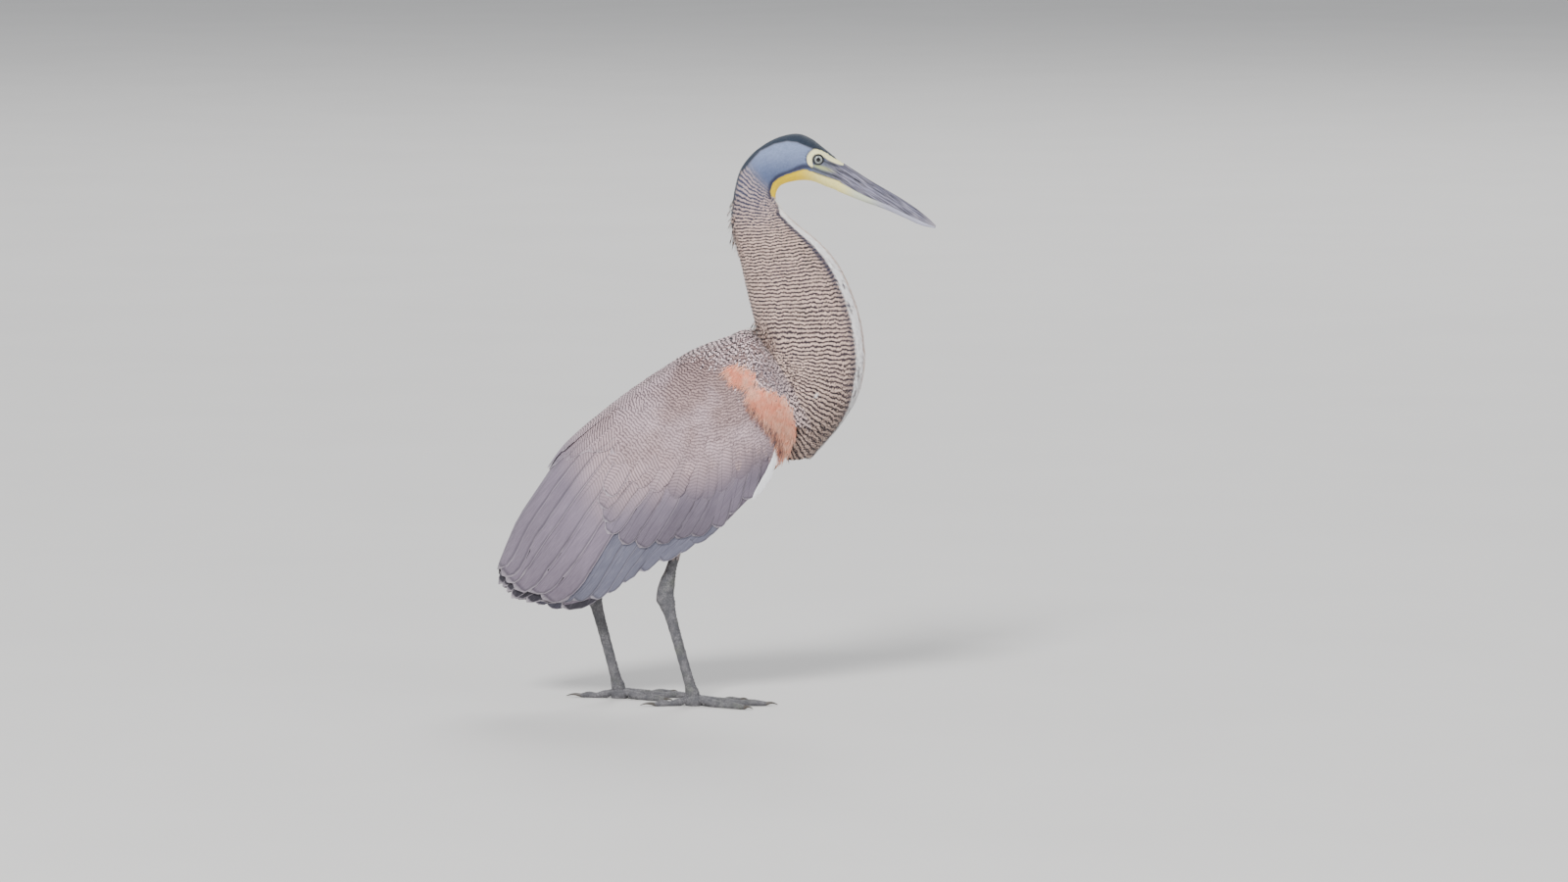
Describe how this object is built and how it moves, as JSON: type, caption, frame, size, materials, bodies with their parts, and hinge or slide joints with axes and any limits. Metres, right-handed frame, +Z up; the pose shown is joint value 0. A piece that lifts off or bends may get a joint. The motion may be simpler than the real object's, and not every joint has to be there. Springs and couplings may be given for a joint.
{
  "type": "bare-throated tiger heron",
  "caption": "Life-size standing heron with an S-bent neck, long pointed bill, folded wings, short tail and long-toed wading feet.",
  "frame": {"origin": "on the floor, under the middle of the bird's length and width", "axes": "+X the way the bird faces, +Y its left side, +Z up"},
  "size_m": [0.4481, 0.1264, 0.5825],
  "materials": {
    "slate_plumage": "slate-black crown feathers, soft and matte",
    "barred_plumage": "fine wavy dark and buff bars, soft and matte",
    "back_plumage": "pinkish brown-grey feathers with fine dark bars",
    "flight_plumage": "smooth slate-grey flight and tail feathers",
    "leg_scales": "grey-brown scaled skin, dull",
    "horn": "dark horn, smooth",
    "bill_dark": "dark grey horn with fine streaks, satin",
    "bill_pale": "pale greenish horn, yellow at its base, satin",
    "eye": "silver-grey iris round a black pupil, wet gloss"
  },
  "bodies": {
    "root": {"head": "slate_plumage", "neck_upper": "barred_plumage", "neck_lower": "barred_plumage", "torso": "back_plumage", "tail": "flight_plumage", "bill_upper": "bill_dark", "bill_lower": "bill_pale", "eye_right": "eye", "wing_right": "flight_plumage", "thigh_right": "barred_plumage", "shank_right": "leg_scales", "foot_right": "leg_scales", "claw_middle_right": "horn", "claw_inner_right": "horn", "claw_outer_right": "horn", "claw_hind_right": "horn", "eye_left": "eye", "wing_left": "flight_plumage", "thigh_left": "barred_plumage", "shank_left": "leg_scales", "foot_left": "leg_scales", "claw_middle_left": "horn", "claw_inner_left": "horn", "claw_outer_left": "horn", "claw_hind_left": "horn"}
  },
  "joints": []
}
